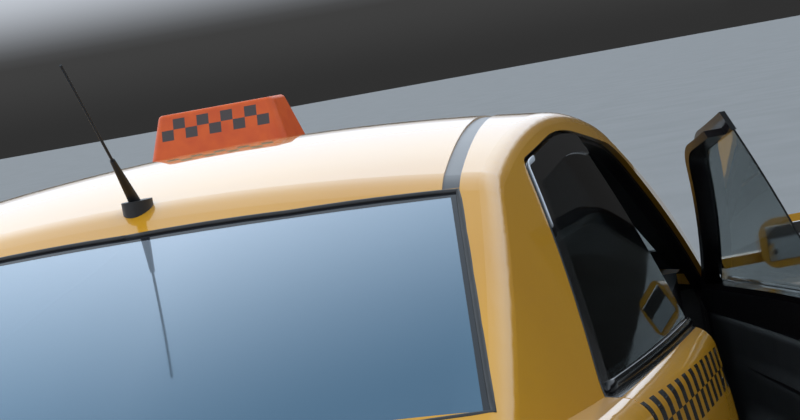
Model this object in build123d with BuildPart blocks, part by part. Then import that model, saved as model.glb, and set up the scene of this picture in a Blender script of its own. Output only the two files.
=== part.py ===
"""A four-door taxi saloon, drawn as the panels, glass, seats and running gear it is put together from.

Millimetres, X forward, Y left, Z up, wheels on z = 0. The car is drawn about the plane y = 0 with every
door shut. The right front door is then turned open, and the whole car moves sideways by CENTRE_Y, so that
the middle of its outline, open door included, stands over the origin.
"""
import os
from functools import cache
from math import copysign, cos, radians, sin, sqrt

from build123d import *

# Overall sizes
LENGTH = 4440
HALF_WIDTH = 868
ROOF_Z = 1471
WHEELBASE = 2600
FRONT_AXLE_X = 1345
TRACK = 1480
CLEARANCE_Z = 170

# Curvature of the body: crowns are across the car, plan radii are seen from above
ROOF_CROWN = 4300
DECK_CROWN = 4000
CABIN_PLAN_R = 10000
BODY_PLAN_R = 19000
NOSE_PLAN_R = 2700
TAIL_PLAN_R = 3000
CORNER_R = 300
SHOULDER_R = 55
RAIL_R = 45
INNER_RAIL_R = 20

# Line of the car along its middle
NOSE_TOP_Z = 740
COWL_X = 1150
COWL_Z = 1000
SCREEN_FOOT_X = 1240
REAR_GLASS_FOOT_Z = 1057
ROOF_LINE = [
    (-1260, 1226), (-948, 1387), (-915, 1401), (-880, 1411), (-350, 1470),
    (250, 1425), (330, 1405), (400, 1377), (800, 1193),
]
DECK_X = -1500
DECK_Z = 1085
DECK_END_Z = 1040
BELT_HALF = 790
WIDEST_Z = 640
FOOT_TUCK = 53
BELT_TUCK = 110
DECK_REF_Z = 1050
FORM_FLOOR_Z = 100
FORM_TOP_Z = 1250

# Walls
PILLAR_WALL = 44
DOOR_WALL = 95
LAYER = 10
FLANGE_DEPTH = 15
LID_WALL = 26

# Openings and shut lines
SPLIT_X = -80
DOOR_FRONT_X = 962
DOOR_REAR_X = -1030
DOOR_FOOT_Z = 262
DOOR_GAP = 7.5
SEAL_LAP = 10
BOX_INSET = 32
PILLAR_HALF = 55
PILLAR_CLEAR = 25
LID_GAP = 6
COWL_GAP = 8
DITCH_Y = 524
DITCH_WIDTH = 28
DITCH_TAPER = 80
FIT = 0.3
SILL_Y = 735
SHELF_HALF = 560

# Side windows
FRAME = 46
SILL_FRONT = (900, 928)
SILL_REAR = (-1000, 1012)
GLASS_DEPTH = 4
GLASS = 4

# Wheels
TYRE_R = 305
TYRE_WIDTH = 186
RIM_R = 203
ARCH_R = 362
WELL_INNER_Y = 470
HOUSE_WALL = 14

# Open door and travel
DOOR_OPEN_DEG = 16
REAR_AXLE_X = FRONT_AXLE_X - WHEELBASE
NOSE_X = LENGTH / 2
TAIL_X = -LENGTH / 2
WHEEL_Y = TRACK / 2
CENTRE_Y = 66


# Hinge arms: ring sectors about each hinge's axis, (inner, outer) radius and (first, last) angle
DOOR_HINGE_Z = (520, 850)
DOOR_ARMS = {"front": ((62, 74), (-150, -54)), "rear": ((82, 92), (-168, -60))}
ARM_HEIGHT = 24
BONNET_HINGE = (1070, 975)
BONNET_ARM = ((84, 96), (-120, -20))
LID_HINGE = (-1568, 1087)
LID_ARM = ((40, 52), (195, 338))


def lengthwise(axis_z, half_arc):
    """Plane of a side view, swung up by half_arc about a lengthwise axis at axis_z. Drawn as (x, z)."""
    a = radians(half_arc)
    return Plane(
        origin=(0, -axis_z * sin(a), axis_z * (1 - cos(a))), x_dir=(1, 0, 0), z_dir=(0, -cos(a), sin(a))
    )


def crosswise(axis_y, half_arc):
    """Plane of a cross-section, swung by half_arc about an upright axis at axis_y. Drawn as (y, z)."""
    a = radians(half_arc)
    return Plane(
        origin=(-axis_y * sin(a), axis_y * (1 - cos(a)), 0),
        x_dir=(sin(a), cos(a), 0),
        z_dir=(cos(a), -sin(a), 0),
    )


def inset_outline(points, inset):
    """The corners of a closed outline, each moved inward so that every side lies inset further in."""
    count = len(points)
    turn = sum(
        points[i][0] * points[(i + 1) % count][1] - points[(i + 1) % count][0] * points[i][1]
        for i in range(count)
    )
    sign = 1 if turn > 0 else -1
    normals = []
    for i, (x0, z0) in enumerate(points):
        x1, z1 = points[(i + 1) % count]
        run = sqrt((x1 - x0) ** 2 + (z1 - z0) ** 2)
        normals.append((-(z1 - z0) * sign / run, (x1 - x0) * sign / run))
    moved = []
    for i, (x, z) in enumerate(points):
        ax, az = normals[i - 1]
        bx, bz = normals[i]
        share = inset / (1 + ax * bx + az * bz)
        moved.append((x + (ax + bx) * share, z + (az + bz) * share))
    return moved


def upper_form(inset=0):
    """Greenhouse: screen, roof and rear window line crowned across the car, between leaning sides."""
    axis_z = ROOF_Z - ROOF_CROWN
    foot_z = 700
    line = inset_outline(
        [
            (DECK_X - 60, foot_z),
            (DECK_X - 60, REAR_GLASS_FOOT_Z),
            *ROOF_LINE,
            (SCREEN_FOOT_X, COWL_Z - 25),
            (SCREEN_FOOT_X, foot_z),
        ],
        inset,
    )
    with BuildPart() as crowned:
        with BuildSketch(lengthwise(axis_z, 25)):
            with BuildLine():
                for first in (1, 3, 5, 7, 9):
                    ThreePointArc(*line[first : first + 3])
                Polyline(line[11], line[12], line[0], line[1])
            make_face()
        revolve(axis=Axis((0, 0, axis_z), (1, 0, 0)), revolution_arc=50)
    axis_y = BELT_HALF - CABIN_PLAN_R
    section = inset_outline(
        [(-1000, foot_z), (832, foot_z), (832, 850), (724, 1180), (594, 1470), (594, 1600), (-1000, 1600)],
        inset,
    )
    with BuildPart() as sided:
        with BuildSketch(crosswise(axis_y, 15)):
            with BuildLine():
                ThreePointArc(*section[2:5])
                Polyline(*section[4:], *section[:3])
            make_face()
        revolve(axis=Axis((0, axis_y, 0), (0, 0, 1)), revolution_arc=30)
    form = (crowned.part & sided.part & mirror(sided.part, Plane.XZ)).solids()[0]
    corners = [e for e in form.edges() if abs(e.center().Y) > 400 and e.center().Z > 910 and e.length > 30]
    return form.fillet(RAIL_R - inset if inset <= LAYER else INNER_RAIL_R, corners)


def lower_form(inset=0):
    """Lower body: bonnet, shoulders and boot crowned across, with bowed sides, nose and tail."""
    axis_z = DECK_REF_Z - DECK_CROWN
    line = inset_outline(
        [
            (TAIL_X - 180, 0),
            (TAIL_X - 180, DECK_END_Z - 30),
            (DECK_X - 350, DECK_Z - 5),
            (DECK_X, DECK_Z),
            (COWL_X, COWL_Z),
            (NOSE_X + 30, NOSE_TOP_Z),
            (NOSE_X + 30, 0),
        ],
        inset,
    )
    with BuildPart() as crowned:
        with BuildSketch(lengthwise(axis_z, 16)):
            with BuildLine():
                ThreePointArc(*line[1:4])
                belt = Line(line[3], line[4])
                TangentArc(line[4], line[5], tangent=belt % 1)
                Polyline(line[5], line[6], line[0], line[1])
            make_face()
        revolve(axis=Axis((0, 0, axis_z), (1, 0, 0)), revolution_arc=32)
    axis_y = HALF_WIDTH - BODY_PLAN_R
    side_half = HALF_WIDTH - inset
    with BuildPart() as sided:
        with BuildSketch(crosswise(axis_y, 8)):
            with BuildLine():
                foot = Line((-1000, FORM_FLOOR_Z), (side_half - FOOT_TUCK, FORM_FLOOR_Z))
                side = ThreePointArc(foot @ 1, (side_half, WIDEST_Z), (side_half - BELT_TUCK, FORM_TOP_Z))
                Polyline(side @ 1, (-1000, FORM_TOP_Z), foot @ 0)
            make_face()
        revolve(axis=Axis((0, axis_y, 0), (0, 0, 1)), revolution_arc=16)
    ends = []
    for face_x, radius, foot_tuck, top_tuck in (
        (NOSE_X - inset, -NOSE_PLAN_R, -60, -210),
        (TAIL_X + inset, TAIL_PLAN_R, 35, 140),
    ):
        axis_x = face_x + radius
        end_plane = Plane(
            origin=(axis_x * (1 - cos(radians(30))), axis_x * sin(radians(30)), 0),
            x_dir=(cos(radians(30)), -sin(radians(30)), 0),
            z_dir=(-sin(radians(30)), -cos(radians(30)), 0),
        )
        with BuildPart() as end:
            with BuildSketch(end_plane):
                beyond_x = face_x - copysign(700, radius)
                with BuildLine():
                    foot = Line((beyond_x, FORM_FLOOR_Z - 50), (face_x + foot_tuck, FORM_FLOOR_Z - 50))
                    face = ThreePointArc(foot @ 1, (face_x, 430), (face_x + top_tuck, FORM_TOP_Z + 50))
                    Polyline(face @ 1, (beyond_x, FORM_TOP_Z + 50), foot @ 0)
                make_face()
            revolve(axis=Axis((axis_x, 0, 0), (0, 0, 1)), revolution_arc=60)
        ends.append(end.part)
    plan = (sided.part & mirror(sided.part, Plane.XZ)) - ends[0] - ends[1]
    plan = plan.solids().sort_by(SortBy.VOLUME)[-1]
    corners = [e for e in plan.edges() if e.bounding_box().size.Z > 900]
    plan = plan.fillet(max(CORNER_R - inset, 60), corners)
    form = (plan & crowned.part).solids()[0]
    rims = [
        e
        for e in form.edges()
        if e.center().Z > 500 and e.length > 30 and (abs(e.center().Y) > 450 or abs(e.center().X) > 1950)
        and e.bounding_box().min.Z > FORM_FLOOR_Z + 300
    ]
    return form.fillet(max(SHOULDER_R - inset, 12), rims)


def half_width_at(x):
    """How far the widest line of the lower body stands from the middle of the car, at x."""
    return HALF_WIDTH - x * x / (2 * BODY_PLAN_R)


def box_between(x, y, z):
    """A plain block between the limits given for each axis."""
    block = Box(x[1] - x[0], y[1] - y[0], z[1] - z[0], mode=Mode.PRIVATE)
    return block.moved(Location(((x[0] + x[1]) / 2, (y[0] + y[1]) / 2, (z[0] + z[1]) / 2)))


SIDE_PLANE = Plane.XZ.offset(-1000)
REACH = 2600

# Door band in side view: x, z, corner radius. It runs round both doors, frames included.
BAND = [
    (DOOR_FRONT_X, DOOR_FOOT_Z, 40),
    (DOOR_FRONT_X, 905, 40),
    (900, 938, 60),
    (330, 1318, 420),
    (-250, 1400, 1500),
    (-680, 1370, 70),
    (DOOR_REAR_X, 1006, 110),
    (DOOR_REAR_X, DOOR_FOOT_Z, 0),
]


def sill_z(x):
    """Height of the lower edge of the side glass at x."""
    (x0, z0), (x1, z1) = SILL_FRONT, SILL_REAR
    return z0 + (z1 - z0) * (x - x0) / (x1 - x0)


def band(x_range, inset=0, glazed=False):
    """The part of the door band within x_range, drawn in by inset, and only its window if glazed."""
    with BuildSketch(SIDE_PLANE) as drawn:
        with BuildLine():
            Polyline(*[(x, z) for x, z, radius in BAND], close=True)
        make_face()
        for x, z, radius in BAND:
            if radius:
                fillet(drawn.vertices().sort_by_distance((x, z, 0))[0], radius)
        with Locations((REAR_AXLE_X, TYRE_R)):
            Circle(ARCH_R + 42, mode=Mode.SUBTRACT)
        if inset:
            offset(amount=-inset, kind=Kind.ARC)
        with BuildLine():
            low = sill_z if glazed else (lambda x: 0)
            first, last = x_range
            Polyline((first, low(first)), (last, low(last)), (last, 1600), (first, 1600), close=True)
        make_face(mode=Mode.INTERSECT)
    return drawn.sketch


BOTH_DOORS = (-REACH, REACH)


@cache
def form(depth):
    """The whole body at a depth inside its surface."""
    return upper_form(depth) + lower_form(depth)


def layer(region, outer, inner):
    """The body's wall between two depths, inside a region."""
    return (form(outer) & region) - form(inner)


def side_prism(sketch, depth=1000):
    """A side view drawn at the far left, carried inward by depth."""
    with BuildPart() as block:
        extrude(sketch, amount=depth, dir=(0, -1, 0))
    return block.part


def plan_prism(points, z_range, radius=0):
    """An outline drawn from above as (x, half width) and mirrored, carried between two heights."""
    with BuildPart() as block:
        with BuildSketch(Plane.XY.offset(z_range[0])) as drawn:
            with BuildLine():
                Polyline(*points, *[(x, -y) for x, y in reversed(points) if y], close=True)
            make_face()
            if radius:
                fillet(drawn.vertices(), radius)
        extrude(amount=z_range[1] - z_range[0])
    return block.part


def side_view_block(points, y_range=(-1000, 1000)):
    """An outline drawn in side view as (x, z), carried across the car."""
    with BuildPart() as block:
        with BuildSketch(Plane.XZ.offset(-y_range[1])):
            with BuildLine():
                Polyline(*points, close=True)
            make_face()
        extrude(amount=y_range[1] - y_range[0])
    return block.part


def end_view_block(points, x_range, both=True):
    """An outline drawn in end view as (y, z), carried lengthwise, on both sides if asked."""
    with BuildPart() as block:
        with BuildSketch(Plane.YZ.offset(x_range[0])):
            with BuildLine():
                Polyline(*points, close=True)
            make_face()
        extrude(amount=x_range[1] - x_range[0])
        if both:
            mirror(about=Plane.XZ)
    return block.part


def ring_sector(plane, radii, angles, height, play=0):
    """A flat ring's sector about the origin of plane, between two angles; play widens it all round."""
    inner, outer = radii
    first, last = angles
    spread = 8 if play else 0
    steps = [first - spread + (last - first + 2 * spread) * i / 4 for i in range(5)]
    with BuildPart() as ring:
        with BuildSketch(plane):
            Circle(outer + play)
            Circle(inner - play, mode=Mode.SUBTRACT)
            with BuildLine():
                Polyline((0, 0), *[(2 * outer * cos(radians(a)), 2 * outer * sin(radians(a))) for a in steps],
                         close=True)
            make_face(mode=Mode.INTERSECT)
        extrude(amount=height / 2 + play, both=True)
    return ring.part


def door_arms(end, play=0):
    """The two arms that carry a left door, or with play the slots that they move in."""
    radii, angles = DOOR_ARMS[end]
    arms = [
        ring_sector(Plane(origin=(*HINGE[end], z)), radii, angles, ARM_HEIGHT, play) for z in DOOR_HINGE_Z
    ]
    return arms[0] + arms[1]


def lid_arms(hinge, arm, y, play=0):
    """The two arms that carry a lid, at plus and minus y, or with play their slots."""
    radii, angles = arm
    x, z = hinge
    left = ring_sector(
        Plane(origin=(x, y, z), x_dir=(1, 0, 0), z_dir=(0, -1, 0)), radii, angles, ARM_HEIGHT, play
    )
    return left + mirror(left, Plane.XZ)


# Hollows
CABIN_SIDE = [
    (-960, 235), (975, 235), (975, 900), (1150, 945), (1230, 960), (1230, 1600),
    (-1560, 1600), (-1560, 990), (-1065, 990), (-1010, 640),
]
cabin_block = side_view_block(CABIN_SIDE)
cabin = (lower_form(DOOR_WALL) & cabin_block) + (upper_form(PILLAR_WALL) & cabin_block)
boot = (lower_form(60) & box_between((-2120, -1095), (-530, 530), (400, 945))) + (
    lower_form(LID_WALL) & box_between((-2150, -1570), (-600, 600), (500, 1100))
)

# Regions that split the body into its panels
SCREEN = [(398, 562), (1080, 668), (1168, 0)]
WINDOW = [(-1437, 640), (-1522, 0)]
GLASS_TOP_Z = 1500
GLASS_HALF = DITCH_Y + DITCH_WIDTH
ROOF_END_X = -980
ROOF_END_BOW = 40


def roof_end(half_widths, ahead=0):
    """Points of the bowed line where the roof meets the rear glass, or of a line ahead of it."""
    return [(ROOF_END_X + ROOF_END_BOW * (y / GLASS_HALF) ** 2 + ahead, y) for y in half_widths]


screen_region = plan_prism([(398, 0), *SCREEN], (900, GLASS_TOP_Z))
window_region = plan_prism([*roof_end((0, 276, DITCH_Y, GLASS_HALF)), *WINDOW], (900, GLASS_TOP_Z))
roof_region = plan_prism([*roof_end((0, 276, DITCH_Y), 1), (397, DITCH_Y - DITCH_TAPER)], (1200, 1500))
ditch_region = plan_prism(
    [*roof_end((0, 276, DITCH_Y, GLASS_HALF), 1), (397, GLASS_HALF - DITCH_TAPER)], (1200, 1500)
)
BONNET = [(1215, 0), (1122, 690), (1500, 676), (2085, 560), (2150, 420), (2175, 0)]
LID_HALF = 612
LID_FRONT_X = -1562
LAMP_Y = 474
bonnet_block = plan_prism(BONNET, (700, 1100))
lid_block = plan_prism([(LID_FRONT_X, LID_HALF), (-2300, LID_HALF - 40)], (902, 1200)) + end_view_block(
    [(0, 722), (LAMP_Y - 6, 722), (LAMP_Y - 6, 902), (0, 902)], (-2300, -1950)
)
front_bumper_block = side_view_block([(1560, 170), (1706, 520), (1880, 628), (2400, 628), (2400, 170)])
rear_bumper_block = side_view_block([(-1480, 170), (-1625, 520), (-1900, 690), (-2400, 690), (-2400, 170)])
headlamp_block = end_view_block([(430, 632), (520, 744), (860, 780), (860, 628)], (1850, 2300))
tail_lamp_block = end_view_block([(LAMP_Y, 725), (LAMP_Y, 905), (570, 905), (860, 925), (860, 700)], (-2300, -1900))
grille_block = end_view_block([(0, 632), (430 - FIT, 632), (512 - FIT, 735), (0, 722)], (1950, 2300))
wheel_wells = [
    Cylinder(ARCH_R, 900).moved(Location((x, side * (WELL_INNER_Y + 450), TYRE_R), (90, 0, 0)))
    for x in (FRONT_AXLE_X, REAR_AXLE_X)
    for side in (1, -1)
]

# Doors: outer outline and the box behind it, in side view
DOORS = {
    "front": ((SPLIT_X, REACH), (SPLIT_X + PILLAR_HALF + PILLAR_CLEAR, REACH)),
    "rear": ((-REACH, SPLIT_X), (-REACH, SPLIT_X - PILLAR_HALF - PILLAR_CLEAR)),
}
LAYER_EDGE = {"front": (SPLIT_X + DOOR_GAP / 2, REACH), "rear": (-REACH, SPLIT_X - DOOR_GAP / 2)}
HINGE = {
    "front": (DOOR_FRONT_X - DOOR_GAP, half_width_at(DOOR_FRONT_X) + 1),
    "rear": (SPLIT_X - DOOR_GAP / 2, half_width_at(SPLIT_X) + 1),
}
wells = wheel_wells[0] + wheel_wells[1] + wheel_wells[2] + wheel_wells[3]
house_block = Cylinder(ARCH_R + HOUSE_WALL, 900).moved(
    Location((REAR_AXLE_X, WELL_INNER_Y - HOUSE_WALL + 450, TYRE_R), (90, 0, 0))
)
rear_floor_block = side_view_block(
    [(-2120, 372), (-1040, 372), (-1040, 237), (-960, 237), (-1010, 640), (-1060, 940), (-1095, 940),
     (-1095, 400), (-2120, 400)],
    (-530, 530),
)
tail_block = box_between((-2300, -2110), (-LAMP_Y + 6, LAMP_Y - 6), (372, 905))


def door_leaf(end):
    """A left door: thin outer layer out to the shut line, a box behind it and the window opening."""
    outer = layer(side_prism(band(LAYER_EDGE[end], DOOR_GAP)), 0, LAYER)
    inner = (form(LAYER) & side_prism(band(DOORS[end][1], BOX_INSET))) - cabin
    opening = side_prism(band(DOORS[end][0], FRAME, glazed=True))
    arms = door_arms(end)
    with BuildPart() as leaf:
        add(outer)
        add(inner)
        add(opening, mode=Mode.SUBTRACT)
        add(arms)
    return leaf.part


def door_glass(end, side):
    """A door's glass, standing in its opening."""
    region = side_prism(band(DOORS[end][0], FRAME + FIT, glazed=True))
    if side == "right":
        region = mirror(region, Plane.XZ)
    return layer(region, GLASS_DEPTH, GLASS_DEPTH + GLASS)


pieces = {}


def keep(name, part, body="car"):
    """Note a finished piece under its name and the body that it moves with."""
    pieces[name] = (part, body)


for end in ("front", "rear"):
    leaf = door_leaf(end)
    for side in ("left", "right"):
        flip = side == "right"
        keep(f"door_{end}_{side}", mirror(leaf, Plane.XZ) if flip else leaf, f"door_{end}_{side}")
        keep(f"door_glass_{end}_{side}", door_glass(end, side), f"door_{end}_{side}")

# Bumpers, lamps and grille
car_floor = box_between((-REACH, REACH), (-1200, 1200), (CLEARANCE_Z + 22, 2000))
front_lamp_shape = layer(headlamp_block, 0, 60)
tail_lamp_shape = layer(tail_lamp_block, 0, 60)
front_bumper_shell = layer(front_bumper_block & car_floor, 0, LID_WALL)
rear_bumper_shell = layer(rear_bumper_block & car_floor, 0, LID_WALL)
grille_shell = layer(grille_block, LAYER, LID_WALL)
with BuildPart() as front_bumper:
    add(front_bumper_shell)
    add(wells, mode=Mode.SUBTRACT)
    with BuildSketch(Plane.YZ.offset(1900)):
        with Locations((0, 330)):
            Trapezoid(900, 130, 70)
    extrude(amount=500, mode=Mode.SUBTRACT)
with BuildPart() as rear_bumper:
    add(rear_bumper_shell)
    add(wells, mode=Mode.SUBTRACT)
with BuildPart() as grille:
    add(grille_shell)
    with BuildSketch(Plane.YZ.offset(1900)):
        with Locations((0, 680)):
            with GridLocations(0, 24, 1, 3):
                SlotOverall(800, 13)
    extrude(amount=500, mode=Mode.SUBTRACT)
keep("front_bumper", front_bumper.part)
keep("rear_bumper", rear_bumper.part)
keep("grille", grille.part)
keep("headlamps", front_lamp_shape)
keep("tail_lamps", tail_lamp_shape)

# Front wings
wing_block = box_between((DOOR_FRONT_X + 6, 2300), (0, 1200), (CLEARANCE_Z, 1100))
cowl_block = plan_prism([(DOOR_FRONT_X - 20, 690), (1122, 690), (1215, 0)], (880, 1100))
nose_block = box_between((1900, 2300), (-10, 620), (600, 780))
wing_form = (lower_form(0) & wing_block) - lower_form(LID_WALL)
with BuildPart() as wing:
    add(wing_form)
    for cutter in (bonnet_block, front_bumper_block, headlamp_block, grille_block, wells,
                   cowl_block, nose_block):
        add(cutter, mode=Mode.SUBTRACT)
wing_left = wing.part.solids().sort_by(SortBy.VOLUME)[-1]
keep("front_wings", Compound([wing_left, mirror(wing_left, Plane.XZ)]))

# Bulkhead and cowl
bulkhead_block = side_view_block(
    [(976, 236), (1001, 236), (1001, 878), (1180, 925), (1225, 1010), (1150, 945), (976, 900)], (-734, 734)
)
cowl = (lower_form(0) & cowl_block) - lower_form(LID_WALL) - upper_form(8)
windscreen = layer(screen_region, 4, 8)
bulkhead = (bulkhead_block & lower_form(LID_WALL + FIT)) - wells
keep("bulkhead", bulkhead - lid_arms(BONNET_HINGE, BONNET_ARM, 600, FIT))
keep("cowl_panel", (cowl - windscreen).solids().sort_by(SortBy.VOLUME)[-1])

# Body sides, with pillars, sills, quarters and roof rails
left_block = box_between((-REACH, DOOR_FRONT_X + 6), (0, 1200), (CLEARANCE_Z, 1700))
pillar_block = box_between((DOOR_FRONT_X + 6, 1200), (0, 1200), (900, 1700))
floor_block = box_between((-1040, REACH), (-10, SILL_Y), (0, 236))
tray_block = box_between((-2120, -960), (-10, 590), (0, 372))
rear_middle = box_between((-2120, -955), (-10, 530), (0, 940))
front_half = box_between((SPLIT_X + PILLAR_HALF, REACH), (-10, 1100), (0, 2000))
rear_half = box_between((-REACH, SPLIT_X - PILLAR_HALF), (-10, 1100), (0, 2000))
apertures = (side_prism(band(DOORS["front"][0], SEAL_LAP)) & front_half) + (
    side_prism(band(DOORS["rear"][0], SEAL_LAP)) & rear_half
)
recess = layer(side_prism(band(BOTH_DOORS)), 0, FLANGE_DEPTH)
upper_front = (upper_form(0) & pillar_block) - lower_form(0)
shelf_block = box_between((-1600, -1066), (-SHELF_HALF, SHELF_HALF), (940, 1300))
side_block = form(0) & left_block
hinge_pillar = (form(LID_WALL + FIT) & box_between((960, 1022), (SILL_Y, 1200), (262, 878))) - wells
slots = door_arms("front", FIT) + door_arms("rear", FIT)
house = (house_block & form(0)) & box_between((-REACH, 0), (0, 1200), (372, 1200))
with BuildPart() as side_shell:
    add(side_block)
    add(upper_front)
    for cutter in (cabin, boot, tray_block, rear_middle, tail_block):
        add(cutter, mode=Mode.SUBTRACT)
    add(house)
    add(hinge_pillar)
    for cutter in (slots, recess, apertures, wells, screen_region, window_region, roof_region, ditch_region,
                   lid_block, bonnet_block, rear_bumper.part, tail_lamp_shape, floor_block, shelf_block):
        add(cutter, mode=Mode.SUBTRACT)
body_side = side_shell.part.solids().sort_by(SortBy.VOLUME)[-1]
keep("body_side_left", body_side)
keep("body_side_right", mirror(body_side, Plane.XZ))
house_blocks = house_block + mirror(house_block, Plane.XZ)
rear_floor = rear_floor_block - house_blocks
keep("rear_floor", rear_floor)
tail_panel = (form(0) & tail_block) - boot - lid_block - rear_bumper.part - rear_floor
keep("tail_panel", tail_panel.solids().sort_by(SortBy.VOLUME)[-1])
shelf_shape = form(0) & shelf_block
with BuildPart() as shelf:
    add(shelf_shape)
    for cutter in (cabin, boot, window_region, lid_block):
        add(cutter, mode=Mode.SUBTRACT)
parcel_shelf = shelf.part.solids().sort_by(SortBy.VOLUME)[-1]
keep("parcel_shelf", parcel_shelf - lid_arms(LID_HINGE, LID_ARM, 480, FIT))

# Roof, glass and mouldings
keep("roof_panel", layer(roof_region, 0, LID_WALL))
keep("windscreen", windscreen)
keep("rear_window", layer(window_region, 4, 8))
keep("ditch_mouldings", (layer(ditch_region, 4, 8) - roof_region))

# Lids
BONNET_CUT = [(1215 + COWL_GAP, 0), (1122 + COWL_GAP, 690 - LID_GAP), (1500, 676 - LID_GAP),
              (2085 - LID_GAP, 560 - LID_GAP), (2150 - LID_GAP, 420 - LID_GAP), (2175 - LID_GAP, 0)]
bonnet = layer(plan_prism(BONNET_CUT, (722, 1100)), 0, LID_WALL)
above_gap = Location((0, 0, LID_GAP))
bonnet = bonnet - headlamp_block.moved(above_gap) - grille_block.moved(above_gap)
keep("bonnet", bonnet + lid_arms(BONNET_HINGE, BONNET_ARM, 600), "bonnet")
lid_gap_block = plan_prism(
    [(LID_FRONT_X - LID_GAP, LID_HALF - LID_GAP), (-2300, LID_HALF - 40 - LID_GAP)], (902 + LID_GAP, 1200)
) + end_view_block(
    [(0, 722 + LID_GAP), (LAMP_Y - 6 - LID_GAP, 722 + LID_GAP), (LAMP_Y - 6 - LID_GAP, 910), (0, 910)],
    (-2300, -1950),
)
keep("boot_lid", layer(lid_gap_block, 0, LID_WALL) + lid_arms(LID_HINGE, LID_ARM, 480), "boot_lid")

# Floor
with BuildPart() as floor:
    with BuildSketch(Plane.YZ.offset(-1040)):
        with BuildLine():
            Polyline((-SILL_Y, 200), (-105, 200), (-90, 300), (90, 300), (105, 200), (SILL_Y, 200),
                     (SILL_Y, 236), (132, 236), (115, 330), (-115, 330), (-132, 236), (-SILL_Y, 236), close=True)
        make_face()
    extrude(amount=976 - FIT + 1040)
    add(wells, mode=Mode.SUBTRACT)
    add(box_between((-1045, -955), (-160, 160), (237, 340)), mode=Mode.SUBTRACT)
keep("floor_pan", floor.part)

# Front inner structure
RAIL_Y = 435
with BuildPart() as front_frame:
    for side in (1, -1):
        add(box_between((1001, 2090), (side * RAIL_Y - 20, side * RAIL_Y + 20), (330, 430)))
        add(box_between((1001, 1760), (side * (RAIL_Y + 20), side * (RAIL_Y + 20) + side * 10), (330, 840))
            if side > 0 else box_between((1001, 1760), (-RAIL_Y - 30, -RAIL_Y - 20), (330, 840)))
    add(box_between((2050, 2090), (-RAIL_Y - 20, RAIL_Y + 20), (250, 330)))
    add(box_between((2050, 2090), (-RAIL_Y - 20, RAIL_Y + 20), (600, 640)))
    for y in (-RAIL_Y, RAIL_Y):
        add(box_between((2050, 2090), (y - 20, y + 20), (330, 600)))
keep("front_frame", front_frame.part)
keep("engine_block", box_between((1190, 1640), (-330, 300), (300, 790)))


def tube(start, end, radius, bore=0):
    """A straight round bar or tube between two points."""
    way = Vector(*end) - Vector(*start)
    with BuildPart(Plane(origin=start, z_dir=way)) as bar:
        Cylinder(radius, way.length, align=(Align.CENTER, Align.CENTER, Align.MIN))
        if bore:
            Cylinder(bore, way.length, align=(Align.CENTER, Align.CENTER, Align.MIN), mode=Mode.SUBTRACT)
    return bar.part


# Wheels
def wheel_pieces(x, y):
    """Tyre and rim about the wheel's own axle, outer face toward +Y, at a hub centre."""
    half = TYRE_WIDTH / 2
    with BuildPart() as tyre:
        with BuildSketch(Plane.YZ):
            with BuildLine():
                Polyline((-half + 8, RIM_R - 8), (-half, 232), (-half + 4, 262), (-half + 16, TYRE_R - 8),
                         (-half + 30, TYRE_R), (half - 30, TYRE_R), (half - 16, TYRE_R - 8), (half - 4, 262),
                         (half, 232), (half - 8, RIM_R - 8), close=True)
            make_face()
        revolve(axis=Axis.Y)
    with BuildPart() as rim:
        with BuildSketch(Plane.YZ):
            with BuildLine():
                Polyline((-half + 10, RIM_R - 8 - FIT), (-half + 10, RIM_R - 22), (half - 62, RIM_R - 30),
                         (half - 50, 60), (half - 40, 30), (half - 40, 0), (half - 24, 0), (half - 22, 60),
                         (half - 30, 150),
                         (half - 18, RIM_R - 22), (half - 8, RIM_R - 16), (half - 10, RIM_R - 8 - FIT),
                         close=True)
            make_face()
        revolve(axis=Axis.Y)
        with Locations(Plane.XZ.offset(-half)):
            with PolarLocations(118, 10):
                Cylinder(20, 200, mode=Mode.SUBTRACT)
    place = Location((x, y, TYRE_R))
    return tyre.part.moved(place), rim.part.moved(place)


for end, x in (("front", FRONT_AXLE_X), ("rear", REAR_AXLE_X)):
    tyre, rim = wheel_pieces(x, WHEEL_Y)
    for side in ("left", "right"):
        flip = side == "right"
        keep(f"tyre_{end}_{side}", mirror(tyre, Plane.XZ) if flip else tyre, f"wheel_{end}_{side}")
        keep(f"rim_{end}_{side}", mirror(rim, Plane.XZ) if flip else rim, f"wheel_{end}_{side}")

# Front suspension: the knuckle turns about the line from ball joint to strut top
BALL_Y = 700
BALL_Z = 222
TOWER_Y = 540
TOWER_Z = 822
SPINDLE_END_Y = WHEEL_Y + TYRE_WIDTH / 2 - 40 - FIT


def on_kingpin(z):
    """Point of the steering axis at a height, left side."""
    share = (z - BALL_Z) / (TOWER_Z - BALL_Z)
    return FRONT_AXLE_X, BALL_Y + (TOWER_Y - BALL_Y) * share, z


knuckle_bits = [
    tube((FRONT_AXLE_X, 655, TYRE_R), (FRONT_AXLE_X, SPINDLE_END_Y, TYRE_R), 28),
    tube((FRONT_AXLE_X, 738, TYRE_R), (FRONT_AXLE_X, 758, TYRE_R), 130),
    tube(on_kingpin(BALL_Z + 20), on_kingpin(TOWER_Z), 21),
    tube(on_kingpin(BALL_Z - 20), on_kingpin(BALL_Z + 24), 9),
]
with BuildPart() as knuckle:
    for bit in knuckle_bits:
        add(bit)
for side in ("left", "right"):
    part = knuckle.part
    keep(f"knuckle_{side}", mirror(part, Plane.XZ) if side == "right" else part, f"knuckle_{side}")
with BuildPart() as subframe:
    add(box_between((FRONT_AXLE_X - 90, FRONT_AXLE_X + 90), (-410, 410), (200, 260)))
    add(box_between((FRONT_AXLE_X - 60, FRONT_AXLE_X + 60), (-120, 120), (255, 300 - FIT)))
    for side in (1, -1):
        add(box_between((FRONT_AXLE_X - 60, FRONT_AXLE_X + 60), (side * 415 - 35, side * 415 + 35), (200, 330 - FIT)))
        arm = tube((FRONT_AXLE_X, side * 400, 224), (FRONT_AXLE_X, side * (BALL_Y - 24), BALL_Z - 6), 14)
        add(arm)
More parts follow.
